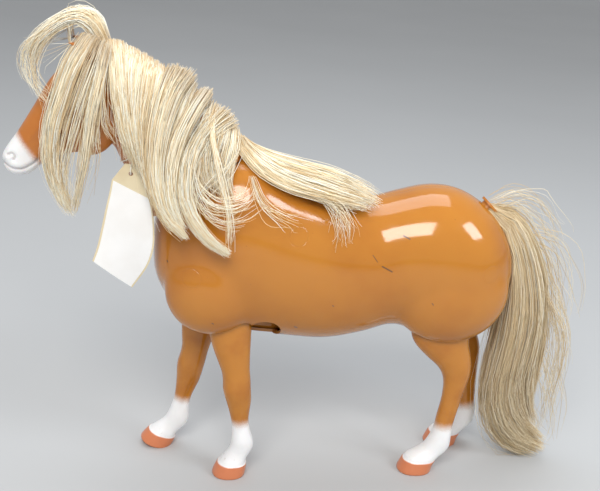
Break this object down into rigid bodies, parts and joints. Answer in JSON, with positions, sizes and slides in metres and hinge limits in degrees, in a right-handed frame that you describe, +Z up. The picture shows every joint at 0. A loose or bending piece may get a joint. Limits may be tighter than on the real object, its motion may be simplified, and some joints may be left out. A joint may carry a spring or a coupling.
{
  "type": "toy horse",
  "caption": "Doll-size toy horse with a hollow two-half body, four legs that swing on axles, a turning soft head and neck, and rooted mane, forelock and tail.",
  "frame": {"origin": "on the ground, on the seam plane of the body, under the middle of its length", "axes": "-X is the way the horse faces, +X its tail, -Y its left side, +Z up"},
  "size_m": [0.3492, 0.0867, 0.2913],
  "materials": {
    "tan_body": "glossy moulded plastic",
    "steel": "plain steel",
    "hidden_moulding": "plain moulded plastic",
    "hidden_washer": "plain rubber",
    "tan_leg": "glossy moulded plastic with a sprayed white sock and a salmon hoof",
    "tan_vinyl": "soft satin vinyl",
    "pale_hair": "combed nylon fibre",
    "white_string": "twisted cotton",
    "tag_paper": "matt paper"
  },
  "bodies": {
    "body": {"left_body_half": "tan_body", "right_body_half": "tan_body", "shell_screws": "steel", "front_axle": "steel", "front_axle_sleeve": "hidden_moulding", "front_friction_washers": "hidden_washer", "rear_axle": "steel", "rear_axle_sleeve": "hidden_moulding", "rear_friction_washers": "hidden_washer", "tail_plug": "hidden_moulding", "tail_hair": "pale_hair"},
    "head": {"head_and_neck": "tan_vinyl", "neck_plug": "hidden_moulding", "neck_retainer": "hidden_moulding", "neck_screw": "steel", "mane_hair": "pale_hair", "forelock_hair": "pale_hair", "tag_string": "white_string"},
    "front_left_leg": {"front_left_leg": "tan_leg"},
    "front_right_leg": {"front_right_leg": "tan_leg"},
    "rear_left_leg": {"rear_left_leg": "tan_leg"},
    "rear_right_leg": {"rear_right_leg": "tan_leg"},
    "tag": {"paper_tag": "tag_paper", "tag_loop": "white_string"}
  },
  "joints": [
    {"name": "neck_turn", "type": "hinge", "parent": "body", "child": "head", "pos_m": [-0.0607, 0, 0.1883], "axis": [-0.6004, 0, 0.7997], "range_deg": [-10, 10]},
    {"name": "front_left_swing", "type": "hinge", "parent": "body", "child": "front_left_leg", "pos_m": [-0.058, -0.019, 0.148], "axis": [0, 1, 0], "range_deg": [-10, 18]},
    {"name": "front_right_swing", "type": "hinge", "parent": "body", "child": "front_right_leg", "pos_m": [-0.058, 0.019, 0.148], "axis": [0, 1, 0], "range_deg": [-28, 0]},
    {"name": "rear_left_swing", "type": "hinge", "parent": "body", "child": "rear_left_leg", "pos_m": [0.099, -0.017, 0.148], "axis": [0, 1, 0], "range_deg": [-15.5, 0]},
    {"name": "rear_right_swing", "type": "hinge", "parent": "body", "child": "rear_right_leg", "pos_m": [0.099, 0.017, 0.148], "axis": [0, 1, 0], "range_deg": [-3, 12.5]},
    {"name": "tag_swing", "type": "hinge", "parent": "head", "child": "tag", "pos_m": [-0.09793, -0.01475, 0.20769], "axis": [0, 1, 0], "range_deg": [-4, 20]}
  ]
}
